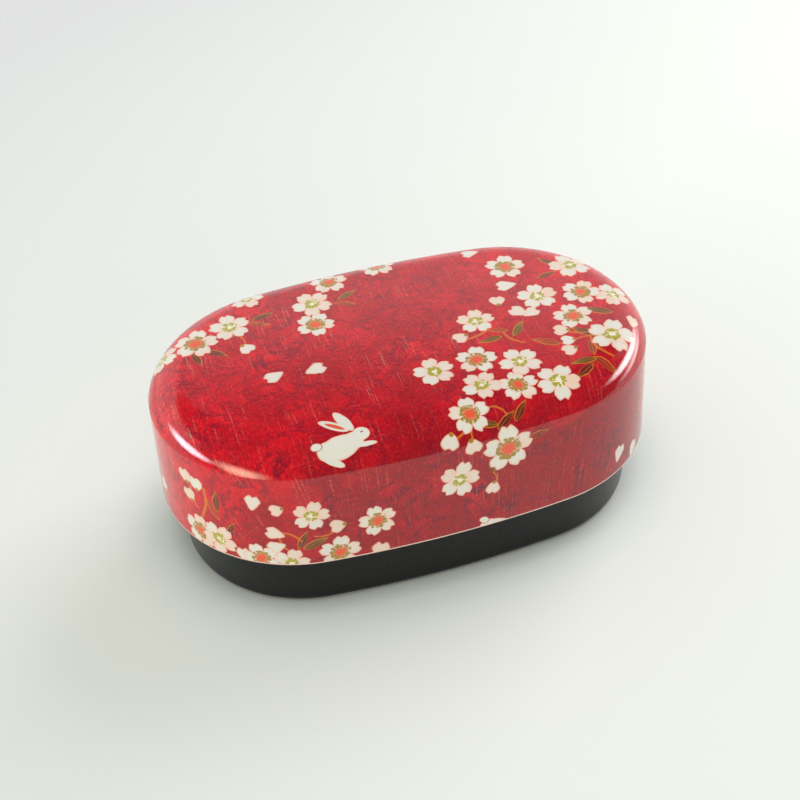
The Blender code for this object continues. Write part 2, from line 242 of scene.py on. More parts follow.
def spin_round(name, profile, end_steps, side_steps):
    """Draw a profile of (inset, height) millimetres by extrusion at the right end, and
    spin it round the oval's four arcs, which meet without a corner."""
    bpy.ops.object.select_all(action="DESELECT")
    inset, height = profile[0]
    start = Vector((END_CENTRE + END_RADIUS - inset, 0, height)) * MM
    bpy.ops.mesh.primitive_plane_add(size=MM, location=start)
    bpy.ops.object.transform_apply(location=True)
    piece = bpy.context.object
    piece.name = piece.data.name = name
    bpy.ops.object.mode_set(mode="EDIT")
    bpy.ops.mesh.select_mode(type="VERT")
    bpy.ops.mesh.merge(type="CENTER")
    for inset, height in profile[1:]:
        end = Vector((END_CENTRE + END_RADIUS - inset, 0, height)) * MM
        bpy.ops.mesh.extrude_region_move(TRANSFORM_OT_translate={"value": end - start})
        start = end
    bpy.ops.mesh.select_all(action="SELECT")
    half_end = (end_steps, END_HALF_ANGLE)
    for centre, (steps, turn) in (
        ((END_CENTRE, 0), half_end),
        ((0, SIDE_CENTRE), (side_steps, 2 * SIDE_HALF_ANGLE)),
        ((-END_CENTRE, 0), half_end),
        ((-END_CENTRE, 0), half_end),
        ((0, -SIDE_CENTRE), (side_steps, 2 * SIDE_HALF_ANGLE)),
        ((END_CENTRE, 0), half_end),
    ):
        middle = (centre[0] * MM, centre[1] * MM, 0)
        bpy.ops.mesh.spin(steps=steps, angle=turn, center=middle, axis=(0, 0, 1))
    bpy.ops.mesh.select_all(action="SELECT")
    bpy.ops.mesh.remove_doubles(threshold=0.003 * MM)
    bpy.ops.object.mode_set(mode="OBJECT")
    piece.data.uv_layers.remove(piece.data.uv_layers[0])
    return piece


def select_open_edges():
    """Enter edit mode with the edges of open rings selected."""
    bpy.ops.object.mode_set(mode="EDIT")
    bpy.ops.mesh.select_mode(type="EDGE")
    bpy.ops.mesh.select_all(action="DESELECT")
    bpy.ops.mesh.select_non_manifold(use_wire=False, use_multi_face=False, use_verts=False)


def finish_faces(smooth_angle):
    """Point all faces outwards, leave edit mode and shade the piece smooth."""
    bpy.ops.mesh.select_all(action="SELECT")
    bpy.ops.mesh.normals_make_consistent(inside=False)
    bpy.ops.object.mode_set(mode="OBJECT")
    bpy.ops.object.shade_smooth_by_angle(angle=smooth_angle)


def fill_rings(piece, spans):
    """Close the open rings of a spun profile: spans gives a height and, for a ring that
    is to be filled by a grid, the grid's count of rows."""
    mesh = piece.data
    for height, rows in spans:
        select_open_edges()
        bpy.ops.object.mode_set(mode="OBJECT")
        for edge in mesh.edges:
            level = mesh.vertices[edge.vertices[0]].co.z
            edge.select = edge.select and abs(level - height * MM) < 0.02 * MM
        bpy.ops.object.mode_set(mode="EDIT")
        if rows:
            bpy.ops.mesh.fill_grid(span=rows)
        else:
            bpy.ops.mesh.edge_face_add()
        bpy.ops.object.mode_set(mode="OBJECT")
    bpy.ops.object.mode_set(mode="EDIT")
    finish_faces(math.radians(20))


def bore_inset(height):
    """Inset of the tub's inner wall at a height."""
    return RIM_INSET + WALL + BORE_DRAFT * (RIM_HEIGHT - height)


def floor_arc(clearance=0.0):
    """The round from the tub's bore to its floor, or one inside it by a clearance."""
    height = FLOOR_TOP + FLOOR_ROUND
    return arc(bore_inset(height) + FLOOR_ROUND, height, FLOOR_ROUND - clearance, 0, -90, 12)


ring_inset = FOOT_INSET + FOOT_ROUND + FOOT_RING
rim_centre = RIM_HEIGHT - RIM_ROUND
tub = spin_round(
    "tub",
    [(ring_inset + FOOT_RECESS, FOOT_RECESS), (ring_inset, 0.0)]
    + arc(FOOT_INSET + FOOT_ROUND, FOOT_ROUND, FOOT_ROUND, -90, 0, 8)
    + [(BAND_INSET, SKIRT_EDGE)]
    + arc(RIM_INSET + RIM_ROUND, rim_centre, RIM_ROUND, 0, 90, 4)
    + arc(bore_inset(rim_centre) - RIM_ROUND, rim_centre, RIM_ROUND, 90, 180, 4)
    + floor_arc(),
    end_steps=36,
    side_steps=24,
)
fill_rings(tub, [(FOOT_RECESS, 0), (FLOOR_TOP, 0)])


def in_millimetres(tree):
    """A point's place on the piece, in millimetres, for patterns of a real scale."""
    place = add(tree, "TexCoord", {}).outputs["Object"]
    return add(tree, "Mapping", {"Vector": place, "Scale": [1 / MM] * 3})


def finish_surface(tree, tone, grain, gloss, relief, more):
    """A surface whose fine grain changes its gloss and, in plastics, its relief."""
    look = {"Base Color": tone, "Roughness": add(tree, "MapRange", [grain, 0.3, 0.7, *gloss])}
    if relief:
        bump = {"Height": grain, "Strength": relief, "Distance": 0.02 * MM}
        look["Normal"] = add(tree, "Bump", bump)
    add(tree, "OutputMaterial", {"Surface": add(tree, "BsdfPrincipled", look | more)})


# The sprayed coat is nearly black, and its orange peel, about 0.5 mm fine, softens highlights.
satin, tree = new_material("satin black urethane on ABS")
at = in_millimetres(tree)
spray = add(tree, "TexNoise", {"Vector": at, "Scale": 2.2, "Detail": 3.0, "Roughness": 0.6})
cloud = add(tree, "TexNoise", {"Vector": at, "Scale": 0.06, "Detail": 2.0})
tone = over(tree, linear("#050507"), cloud, linear("#0a0a0c"))
finish_surface(tree, tone, spray, (0.20, 0.32), 0.25, {"IOR": 1.37})
tub.data.materials.append(satin)
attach(tub, "tub")
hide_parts("container")

# Divider: milky polyethylene, moulded as a thin web with a flange cut to the tub's
# section and a rounded bead along its top. It stands loose across the tub, and the blocks
# that shape it reach past the tub.
DIVIDER_PLACE = 18.0
DIVIDER_TOP = 42.744
DIVIDER_GAP = 0.5
DIVIDER_FLANGE = 16
FLANGE_THICKNESS = 1.2
WEB = 1.4
BEAD_RADIUS = 1.4
BEAD_DROP = 1.0
ACROSS = 110
BLOCK_MIDDLE = 40
BLOCK_HEIGHT = 120


def join_by(piece, other, operation):
    """Apply a Boolean to the piece and delete the other body."""
    step = piece.modifiers.new("join", "BOOLEAN")
    step.operation, step.object, step.solver = operation, other, "EXACT"
    bpy.ops.object.select_all(action="DESELECT")
    bpy.context.view_layer.objects.active = piece
    piece.select_set(True)
    bpy.ops.object.modifier_apply(modifier=step.name)
    bpy.data.objects.remove(other)


def add_block(x, y, z, size_x, size_y, size_z):
    """A box with its middle at x, y, z, in millimetres."""
    bpy.ops.object.select_all(action="DESELECT")
    bpy.ops.mesh.primitive_cube_add(size=MM, location=Vector((x, y, z)) * MM)
    bpy.context.object.scale = (size_x, size_y, size_z)
    bpy.ops.object.transform_apply(location=True, scale=True)
    return bpy.context.object


def round_edges(piece, width, segments):
    """Round every sharp edge of the piece and shade it smooth."""
    bpy.ops.object.select_all(action="DESELECT")
    bpy.context.view_layer.objects.active = piece
    piece.select_set(True)
    step = piece.modifiers.new("rounded edges", "BEVEL")
    step.width, step.segments, step.limit_method = width * MM, segments, "ANGLE"
    step.angle_limit = math.radians(40)
    bpy.ops.object.modifier_apply(modifier=step.name)
    bpy.ops.object.shade_smooth_by_angle(angle=SMOOTH_ANGLE)


def tub_inside(name, clearance, top):
    """The tub's inside as a body, smaller all round by a clearance."""
    profile = [(bore_inset(top) + clearance, top)] + floor_arc(clearance)
    body = spin_round(name, profile, end_steps=36, side_steps=24)
    fill_rings(body, [(top, 0), (FLOOR_TOP + clearance, 0)])
    return body


divider = tub_inside("divider_moulding", DIVIDER_GAP, DIVIDER_TOP)
section = add_block(DIVIDER_PLACE, 0, BLOCK_MIDDLE, DIVIDER_FLANGE, ACROSS, BLOCK_HEIGHT)
join_by(divider, section, "INTERSECT")
space = tub_inside("divider_space", DIVIDER_GAP + FLANGE_THICKNESS, 80)
web = add_block(DIVIDER_PLACE, 0, BLOCK_MIDDLE, WEB, ACROSS, BLOCK_HEIGHT)
join_by(space, web, "DIFFERENCE")
bpy.ops.object.select_all(action="DESELECT")
bpy.ops.mesh.primitive_cylinder_add(
    vertices=40,
    radius=BEAD_RADIUS * MM,
    depth=ACROSS * MM,
    location=Vector((DIVIDER_PLACE, 0, DIVIDER_TOP - BEAD_DROP)) * MM,
    rotation=(math.pi / 2, 0, 0),
)
join_by(space, bpy.context.object, "DIFFERENCE")
join_by(divider, space, "DIFFERENCE")
round_edges(divider, 0.2, 2)

# Polyethylene looks waxy and a little cloudy, with a dull sheen and light that soaks in.
milky, tree = new_material("milky polyethylene")
at = in_millimetres(tree)
grain = add(tree, "TexNoise", {"Vector": at, "Scale": 2.5, "Detail": 2.0})
flow = add(tree, "TexNoise", {"Vector": at, "Scale": 0.06, "Detail": 3.0, "Distortion": 1.0})
tone = over(tree, linear("#d9ddda"), flow, linear("#e8eae7"))
milk = {"Subsurface Scale": 3 * MM, "Subsurface Radius": (1.0, 1.0, 0.9)}
wax = milk | {"IOR": 1.51, "Subsurface Weight": 0.35}
finish_surface(tree, tone, grain, (0.38, 0.50), 0.3, wax)
divider.data.materials.append(milky)
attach(divider, "partition")
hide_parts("divider")

# Inner lid: milky polypropylene moulding that drops into the tub's mouth. Its flange lies
# on the rim, its plug carries the gasket in a groove, and a grip stands up from the sunk
# panel so that a finger and thumb can pull it out.
FLANGE_INSET = 4.499
FLANGE_TOP = 61.044
FLANGE_BOTTOM = 59.444
PANEL_TOP = 53.044
PANEL_STEP = 1.0
RECESS_INSET = 10.414
RECESS_ROUND = 2.0
STEP_INSET = 20.414
PLUG_BOTTOM = 51.444
PLUG_GAP = 0.5
PLUG_INSET = bore_inset(PLUG_BOTTOM) + PLUG_GAP
GROOVE_INSET = 9.014
GROOVE_TOP = 57.444
GROOVE_BOTTOM = 53.444
EDGE_ROUND = 0.4
GRIP_THICKNESS = 2.4
GRIP_LENGTH = 32
GRIP_TOP = 61.544
GRIP_FOOT = 53.244
GRIP_CORNER = 4.5
inner_lid = spin_round(
    "inner_lid_moulding",
    [
        (STEP_INSET + 1.0, PANEL_TOP + PANEL_STEP),
        (STEP_INSET + 0.486, PANEL_TOP + 0.656),
        (STEP_INSET, PANEL_TOP),
    ]
    + arc(RECESS_INSET + RECESS_ROUND, PANEL_TOP + RECESS_ROUND, RECESS_ROUND, -90, 0, 10)
    + arc(RECESS_INSET - EDGE_ROUND, FLANGE_TOP - EDGE_ROUND, EDGE_ROUND, 180, 90, 4)
    + arc(FLANGE_INSET + EDGE_ROUND, FLANGE_TOP - EDGE_ROUND, EDGE_ROUND, 90, 0, 4)
    + [(FLANGE_INSET, FLANGE_BOTTOM + 0.156), (FLANGE_INSET + 0.15, FLANGE_BOTTOM)]
    + [(PLUG_INSET, FLANGE_BOTTOM), (PLUG_INSET, GROOVE_TOP), (GROOVE_INSET, GROOVE_TOP)]
    + [(GROOVE_INSET, GROOVE_BOTTOM), (PLUG_INSET, GROOVE_BOTTOM)]
    + arc(PLUG_INSET + EDGE_ROUND, PLUG_BOTTOM + EDGE_ROUND, EDGE_ROUND, 0, -90, 4)
    + [
        (STEP_INSET + 0.8, PLUG_BOTTOM),
        (STEP_INSET + 1.286, PLUG_BOTTOM + 0.35),
        (STEP_INSET + 1.8, PLUG_BOTTOM + PANEL_STEP),
    ],
    end_steps=48,
    side_steps=32,
)
fill_rings(inner_lid, [(PANEL_TOP + PANEL_STEP, 0), (PLUG_BOTTOM + PANEL_STEP, 0)])
grip_middle = (GRIP_TOP + GRIP_FOOT) / 2
grip = add_block(0, 0, grip_middle, GRIP_THICKNESS, GRIP_LENGTH, GRIP_TOP - GRIP_FOOT)
bpy.ops.object.mode_set(mode="EDIT")
bpy.ops.mesh.select_mode(type="EDGE")
bpy.ops.mesh.select_all(action="DESELECT")
bpy.ops.object.mode_set(mode="OBJECT")
for edge in grip.data.edges:
    one, two = (grip.data.vertices[corner].co for corner in edge.vertices)
    edge.select = min(one.z, two.z) > grip_middle * MM and one.y * two.y > 0
bpy.ops.object.mode_set(mode="EDIT")
bpy.ops.mesh.bevel(offset=GRIP_CORNER * MM, segments=10, affect="EDGES")
bpy.ops.object.mode_set(mode="OBJECT")
round_edges(grip, 0.5, 4)
join_by(inner_lid, grip, "UNION")
bpy.ops.object.shade_smooth_by_angle(angle=SMOOTH_ANGLE)

# Polypropylene is paler and glossier than the divider, with faint clouds where it flowed.
polypropylene, tree = new_material("milky polypropylene")
at = in_millimetres(tree)
grain = add(tree, "TexNoise", {"Vector": at, "Scale": 3.0, "Detail": 2.0})
flow = add(tree, "TexNoise", {"Vector": at, "Scale": 0.04, "Detail": 3.0, "Distortion": 1.5})
tone = over(tree, linear("#dfe2de"), flow, linear("#edeeea"))
lid_plastic = milk | {"IOR": 1.49, "Subsurface Weight": 0.3}
finish_surface(tree, tone, grain, (0.28, 0.40), 0.25, lid_plastic)
inner_lid.data.materials.append(polypropylene)
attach(inner_lid, "seal_lid")
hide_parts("inner_lid")

# Gasket: translucent silicone ring, pressed into the inner lid's groove. Two rounded
# lips wipe the tub's wall.
GASKET_MIDDLE = (GROOVE_TOP + GROOVE_BOTTOM) / 2
GASKET_BACK = 8.714
GASKET_FACE = 7.614
LIP_INSET = 7.264
LIP_OFFSET = 1.25
LIP_ROUND = 0.45
gasket_profile = []
for middle in (GASKET_MIDDLE - LIP_OFFSET, GASKET_MIDDLE + LIP_OFFSET):
    gasket_profile += [(GASKET_FACE, middle - LIP_ROUND)]
    gasket_profile += arc(LIP_INSET, middle, LIP_ROUND, -60, 60, 6)
    gasket_profile += [(GASKET_FACE, middle + LIP_ROUND)]
gasket = spin_round(
    "silicone_gasket",
    [(GASKET_BACK, gasket_profile[0][1])] + gasket_profile + [(GASKET_BACK, gasket_profile[-1][1])],
    end_steps=48,
    side_steps=32,
)
select_open_edges()
bpy.ops.mesh.bridge_edge_loops()
finish_faces(SMOOTH_ANGLE)

# Silicone is greyish, nearly matt and the most translucent of the pieces.
silicone, tree = new_material("translucent silicone")
at = in_millimetres(tree)
bloom = add(tree, "TexNoise", {"Vector": at, "Scale": 0.8, "Detail": 3.0})
tone = over(tree, linear("#cfd3d2"), bloom, linear("#dee1e0"))
rubber = {"IOR": 1.41, "Subsurface Weight": 0.5}
rubber |= {"Subsurface Scale": 2 * MM, "Subsurface Radius": (1.0, 1.0, 1.0)}
finish_surface(tree, tone, bloom, (0.42, 0.55), 0, rubber)
gasket.data.materials.append(silicone)
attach(gasket, "seal_lid")
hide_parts("inner_lid_gasket")

# Cap shell: ABS moulded in the same oval, 1.8 mm thick, left matt inside and hidden
# outside by the cloth that is bonded to it. Its mouth has a small lead-in. Depths are
# measured from the cloth's outer face, and each shoulder arc ends where the skirt begins.
SHOULDER_RADIUS = 12.7
SHOULDER_INSET = 13.133
SHOULDER_HEIGHT = 56.19
CAP_TOP = SHOULDER_HEIGHT + SHOULDER_RADIUS
SHELL_OUTSIDE = 0.7
SHELL_INSIDE = 2.5
LEAD_IN = 0.5
shell = spin_round(
    "cap_moulding",
    arc(SHOULDER_INSET, SHOULDER_HEIGHT, SHOULDER_RADIUS - SHELL_OUTSIDE, 90, 20.6, 10)
    + [(SHELL_OUTSIDE, SKIRT_EDGE), (SHELL_INSIDE - LEAD_IN, SKIRT_EDGE)]
    + [(SHELL_INSIDE + 0.017, SKIRT_EDGE + LEAD_IN)]
    + arc(SHOULDER_INSET, SHOULDER_HEIGHT, SHOULDER_RADIUS - SHELL_INSIDE, 22.4, 90, 10),
    end_steps=36,
    side_steps=24,
)
fill_rings(shell, [(CAP_TOP - SHELL_OUTSIDE, 0), (CAP_TOP - SHELL_INSIDE, 0)])

# Unpainted ABS from a matt mould is a dark grey rather than black, with a fine even grain.
moulded, tree = new_material("moulded black ABS")
at = in_millimetres(tree)
grain = add(tree, "TexNoise", {"Vector": at, "Scale": 3.0, "Detail": 2.0})
tone = over(tree, linear("#1c1c1d"), grain, linear("#262627"))
finish_surface(tree, tone, grain, (0.48, 0.60), 0.3, {"IOR": 1.52})
shell.data.materials.append(moulded)
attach(shell, "cap")
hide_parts("lid_shell")

# Cloth: printed cotton laid over the cap, bonded to it and sealed under a thick clear
# urethane. It covers the top, the rounded shoulder, a soft crease below that and the
# skirt, and is trimmed flush with the skirt's edge, where its cut shows as a pale line.
CREASE_HEIGHT = 60.544
CREASE_INSET = 1.199
CREASE_ROUND = 2.0
CREASE_CENTRE = (CREASE_INSET + 1.988, CREASE_HEIGHT - 0.385)
SKIRT_SLOPE = CREASE_INSET / (CREASE_HEIGHT - SKIRT_EDGE)
SKIRT_ROWS = 26
SKIRT_RISE = 35.0
CUT_ROUND = 0.2
CLOTH_BACK = 0.66
skirt_foot = SKIRT_EDGE + CUT_ROUND
skirt_rows = [skirt_foot + SKIRT_RISE * row / SKIRT_ROWS for row in range(SKIRT_ROWS, 0, -1)]
cloth = spin_round(
    "printed_cloth",
    arc(SHOULDER_INSET, SHOULDER_HEIGHT, SHOULDER_RADIUS, 90, 23, 14)
    + arc(*CREASE_CENTRE, CREASE_ROUND, 20, 2, 4)
    + [(SKIRT_SLOPE * (height - SKIRT_EDGE), height) for height in skirt_rows]
    + arc(CUT_ROUND + 0.007, skirt_foot, CUT_ROUND, 0, -90, 4)
    + [(CLOTH_BACK, SKIRT_EDGE)]
    + arc(SHOULDER_INSET, SHOULDER_HEIGHT, SHOULDER_RADIUS - CLOTH_BACK, 20.6, 90, 6),
    end_steps=54,
    side_steps=60,
)
fill_rings(cloth, [(CAP_TOP, 54), (CAP_TOP - CLOTH_BACK, 0)])

mesh = cloth.data
corners = np.zeros(len(mesh.loops), int)
mesh.loops.foreach_get("vertex_index", corners)
points = np.zeros(len(mesh.vertices) * 3)
mesh.vertices.foreach_get("co", points)
points = points.reshape(-1, 3) / MM


def lay_out(points):
    """Where each point of the cloth lies when the cloth is laid flat, in millimetres from
    the middle of the top; and where it lies along the skirt: millimetres round the
    outline from the middle of the front, and millimetres above the lower edge."""
    x, y, z = points.T
    turn = np.arctan2(np.abs(y), np.abs(x) - END_CENTRE)
    on_end = turn < END_HALF_ANGLE
    centre_x = np.where(on_end, np.sign(x) * END_CENTRE, 0)
    centre_y = np.where(on_end, 0, -np.where(y < 0, -1, 1) * SIDE_CENTRE)
    radius = np.where(on_end, END_RADIUS, SIDE_RADIUS)
    reach = np.hypot(x - centre_x, y - centre_y)
    out_x, out_y = (x - centre_x) / reach, (y - centre_y) / reach
    rise = np.clip((np.maximum(z, CREASE_HEIGHT) - SHOULDER_HEIGHT) / SHOULDER_RADIUS, 0, 1)
    travel = SHOULDER_RADIUS * np.arccos(rise) + np.clip(CREASE_HEIGHT - z, 0, None)
    flat = reach < radius - SHOULDER_INSET
    laid_x = np.where(flat, x, centre_x + out_x * (radius - SHOULDER_INSET + travel))
    laid_y = np.where(flat, y, centre_y + out_y * (radius - SHOULDER_INSET + travel))
    side = SIDE_RADIUS * SIDE_HALF_ANGLE
    half_end = END_RADIUS * END_HALF_ANGLE
    end_run = side + half_end + END_RADIUS * np.where(y < 0, -turn, turn)
    side_run = SIDE_RADIUS * np.arctan2(np.abs(x), np.abs(y) + SIDE_CENTRE)
    side_run = np.where(y < 0, side_run, 2 * side + 2 * half_end - side_run)
    run = np.where(on_end, end_run, side_run) * np.where(x < 0, -1, 1)
    return np.stack([laid_x, laid_y]), np.stack([run, z - SKIRT_EDGE])


OUTLINE_LENGTH = 4 * (SIDE_RADIUS * SIDE_HALF_ANGLE + END_RADIUS * END_HALF_ANGLE)
on_top, on_skirt = lay_out(points)
laid = mesh.attributes.new("laid_flat", "FLOAT_VECTOR", "POINT")
laid.data.foreach_set("vector", np.stack([*on_top, 0 * on_top[0]], 1).ravel().astype(np.float32))
outer = [
    face.normal.z > 0.1 or (face.normal.xy.dot(face.center.xy) > 0 and face.normal.z > -0.1)
    for face in mesh.polygons
]
corner_face = np.repeat(np.arange(len(outer)), [face.loop_total for face in mesh.polygons])
on_outside = np.array(outer)[corner_face]

# A motif may reach a little past its square, which is 1 each way from its middle, and a
# sprig is narrower. A print screen holds EMPTY where it has no motif.
printed = {}
EMPTY = 9.0
REACH = 1.12
SPRIG_REACH = 0.62
PETALS = 5
STAMENS = 11
RABBIT_SIZE = 12.0
SALMON = linear("#f2a58e")
ORANGE = linear("#d8702a")


def print_motif(screen, chart, x, y, size, turn, mark):
    """Lay one motif on its kind's first print screen that is still free there: the faces
    that it reaches get its own coordinates, from -1 to 1 across the motif, and its mark."""
    across, along = (chart[0][corners] - x), (chart[1][corners] - y)
    if chart is on_skirt:
        across = (across + OUTLINE_LENGTH / 2) % OUTLINE_LENGTH - OUTLINE_LENGTH / 2
    turn = math.radians(turn)
    u = (across * math.cos(turn) + along * math.sin(turn)) / size
    v = (along * math.cos(turn) - across * math.sin(turn)) / size
    aside = SPRIG_REACH if screen == "sprig" else REACH
    near = (np.abs(u) < REACH) & (np.abs(v) < aside) & on_outside
    faces = np.zeros(len(outer), bool)
    faces[corner_face[near]] = True
    chosen = faces[corner_face]
    for layer in "abcd":
        values = printed.setdefault(f"{screen}_{layer}", np.full((len(corners), 3), EMPTY))
        if (values[chosen, 0] == EMPTY).all():
            values[chosen] = np.stack([u[chosen], v[chosen], np.full(chosen.sum(), mark)], 1)
            return
    raise RuntimeError(f"no free print screen for the {screen} at {x}, {y}")


# Blossoms: x, y, half width, turn, mark. The whole part of the mark is the kind of
# centre, 0 red and 1 olive, and the rest shuffles the petals' tints.
for x, y, size, turn, mark in (
    # spray at the back left
    (-14, 40, 6.8, 10, 0.2), (-23, 29, 7.2, 40, 1.4), (-25, 17, 6.8, -15, 0.6),
    (-53, 26, 7.2, 20, 1.1), (-66, 21, 7.8, 0, 0.7), (-79, 20, 6.8, 30, 1.3),
    (-44, 41, 6.2, 0, 1.5), (5, 44, 6.8, 15, 0.8),
    # spray at the right
    (48, 26, 7.2, 0, 0.4), (70, 19, 7.6, 25, 1.2), (52, 5, 7.2, 10, 1.6), (67, 2, 7, -20, 0.1),
    (77, -3, 6.6, 30, 1.9), (27, -1, 6.6, 5, 1.3), (59, -10, 7, 15, 0.7), (67, -24, 8.2, -10, 1.5),
    (5, -22, 7, 20, 1.8), (20, -21, 7, 0, 0.5), (33, -27, 7.2, 35, 1.1), (17, -34, 6.8, 50, 1.4),
    (28, -38, 6.8, 10, 0.9), (41, -40, 7.4, -20, 1.6), (9, -45, 6.8, 15, 0.3),
    (20, -60, 8.8, 20, 0.6), (3, -68, 7.2, 0, 1.2),
    # spray over the back shoulder
    (-12, 62, 7.4, 10, 1.7), (2, 69, 7.2, 30, 0.2), (-24, 72, 7, -10, 0.5), (34, 58, 7.2, 20, 1.2),
):
    print_motif("blossom", on_top, x, y, size, turn, mark)

# The skirt's blossoms: millimetres round from the middle of the front, height.
for x, y, size, turn, mark in (
    (-46, 21, 6.1, 0, 1.3), (-25, 14, 6.4, 30, 0.7), (-38, 3.5, 7.1, 10, 0.2), (-64, 2.5, 6.4, 40, 0.5),
    (-54, 1, 6.4, 0, 1.8), (-87, 6, 7.0, 15, 0.1), (-79, 6.5, 6.8, -20, 1.4),
    (-122, 25, 7.2, 20, 0.6), (-134, 14, 7, 0, 1.1), (-143, 26, 6.8, 50, 0.3), (-176, 9, 7.2, 15, 1.6),
    (-190, 3, 6.8, -15, 0.9), (110, 9, 7.2, 0, 1.5), (122, 17, 7, 35, 0.4), (134, 6, 6.8, 10, 1.2),
    (160, 24, 7.2, -20, 0.7), (172, 14, 7, 25, 1.9), (205, 7, 7.2, 5, 0.1),
):
    print_motif("blossom", on_skirt, x, y, size, turn, mark)

# Loose petals and buds: mark 0 is a petal, 1 a bud; the turn points to the tip.
for x, y, size, turn, mark in (
    (-50, 12, 2.6, -60, 1.2), (-45, -6, 3.4, 200, 0.1), (-31, -7, 3.6, 15, 0.4),
    (39, 39, 3.2, 180, 0.3), (44, 15, 3.6, 175, 0.2), (38, 7.5, 2.6, 80, 1.5),
    (42.5, -1, 3.5, 130, 0.8), (46.5, -3, 3.1, 20, 0.6), (19, -8, 2.6, 200, 1.1),
    (52, -16, 2.7, 165, 1.6), (52, -22, 2.4, 175, 1.3), (50.5, -27, 2.6, 190, 1.8),
    (78, -18, 3.0, 60, 0.5), (0.5, -52.5, 2.8, -110, 1.2), (8, -56, 2.8, -75, 1.4),
    (15, -75, 2.5, -100, 1.7), (-30, 60, 3.2, 80, 0.6), (16, 60, 3.2, 40, 1.2), (-6, 78, 3.2, 100, 1.6),
):
    print_motif("petal", on_top, x, y, size, turn, mark)
for x, y, size, turn, mark in (
    (65, 8, 3.4, 70, 0.2), (75, 3, 3.4, 60, 0.7), (-64.5, 26.5, 3.2, 80, 0.4),
    (-57, 24, 2.3, 200, 1.5), (-38, 15, 2.6, 190, 1.1), (-58.5, 14, 3.2, 160, 0.8),
    (-58.5, 8, 3.2, 200, 0.3), (-25, 1, 3.6, 70, 0.9), (-70, 2.5, 3.2, 100, 0.1),
    (-91, 28, 2.8, 105, 1.5), (-86, 27, 2.8, 95, 1.3), (-90, 20.5, 2.6, 110, 1.6),
    (-110, 11, 3.2, 40, 0.3), (-155, 18, 3.2, 110, 1.7), (98, 25, 3.2, 20, 0.5),
    (147, 13, 3.0, 80, 1.4), (186, 26, 3.2, 140, 0.6), (222, 20, 3.2, 30, 0.9),
):
    print_motif("petal", on_skirt, x, y, size, turn, mark)

# Stems and leaves: a mark under 1 is a stem with that bow, 2 a filled leaf, 3 an
# outlined one; the turn is the way it grows.
for x, y, size, turn, mark in (
    (-60, 13, 4.4, -40, 2.2), (-67, 12, 4.2, -75, 2.8), (-10, 30, 4.4, 25, 2.5),
    (-12, 25, 4.2, -25, 3.2), (-41, 28, 4.6, 15, 2.4), (-43, 24, 4.2, -25, 3.6),
    (-51, 17, 3.6, -80, 0.3), (28, -12.5, 4.6, 185, 2.1), (32, -8.5, 4.0, 160, 3.9),
    (39, -10, 4.8, 50, 2.7), (36, -14, 4.8, 120, 0.3), (45, -20, 5.4, 145, 3.3),
    (24, -8, 6.0, 195, 0.2), (68, -10, 5.6, 145, 2.6), (59, -19.5, 5.6, 135, 2.9),
    (58, -28.5, 4.6, 255, 3.8), (52.5, -34, 5.0, 180, 2.1), (51, -38.5, 4.8, 210, 2.3),
    (59.5, -37, 5.4, -50, 3.7), (62, -28, 6.4, 105, 0.4), (56, -23, 4.0, 10, 0.2),
    (56, -18, 4.4, 150, 0.2), (60, 16, 4.2, 10, 2.4), (63, 24, 4.2, 130, 2.9),
    (13.5, -49.5, 4.0, 165, 2.6), (20, -49.5, 4.4, 35, 2.3), (25.5, -47.5, 4.4, 50, 2.2),
    (17, -46.5, 4.2, -25, 0.5), (31, -57, 4.2, 15, 3.5), (14.5, -66, 3.6, -75, 2.8),
    (15.5, -71, 2.6, -80, 0.3), (4.5, -48.5, 5.2, 45, -0.4), (9, -51, 3.6, 80, 0.3),
    (-2, 58, 4.2, 70, 2.4), (-18, 66, 4.4, 200, 2.7), (12, 62, 4.2, 20, 3.4),
    (25, 64, 4.4, 200, 2.2), (42, 65, 4.2, -30, 3.8),
):
    print_motif("sprig", on_top, x, y, size, turn, mark)
for x, y, size, turn, mark in (
    (-49.5, 11, 4.4, 65, 2.4), (-45.5, 9, 5.0, 25, 2.6), (-54, 12, 4.6, -25, 0.4),
    (-54, 9, 4.8, -50, -0.4), (-42, 13, 4.0, 190, 0.3), (-80, 19, 4.8, 120, 3.7),
    (-78, 23, 4.8, 85, 2.8), (-73.5, 13, 3.4, 60, 2.3), (-87, 22, 6.0, 95, 0.3),
    (-84, 20, 7.0, 80, -0.2), (-128, 20, 4.4, -60, 2.5), (-115, 18, 4.6, 200, 3.6),
    (-150, 20, 4.4, -20, 2.2), (-150, 14, 5.0, 40, 0.3), (-183, 11, 4.2, 130, 2.7),
    (116, 12, 4.2, 40, 2.4), (127, 24, 4.4, 60, 3.8), (129, 12, 4.2, -50, 2.1),
    (166, 20, 4.2, -50, 2.8), (180, 18, 4.6, 25, 3.4), (152, 16, 5.0, 45, 0.3),
    (213, 12, 4.2, 40, 2.5),
):
    print_motif("sprig", on_skirt, x, y, size, turn, mark)

# One running rabbit at the front of the top, one on the skirt cut by its lower edge, and
# one on the skirt behind.
print_motif("rabbit", on_top, -32, -41, RABBIT_SIZE, 0, 0)
print_motif("rabbit", on_skirt, 19.4, 0.6, RABBIT_SIZE, -30, 1)
print_motif("rabbit", on_skirt, -217, 19, RABBIT_SIZE, 0, 0)

for name, values in printed.items():
    screen = mesh.attributes.new(name, "FLOAT_VECTOR", "CORNER")
    screen.data.foreach_set("vector", values.ravel().astype(np.float32))

lacquered, tree = new_material("printed cotton under clear urethane")


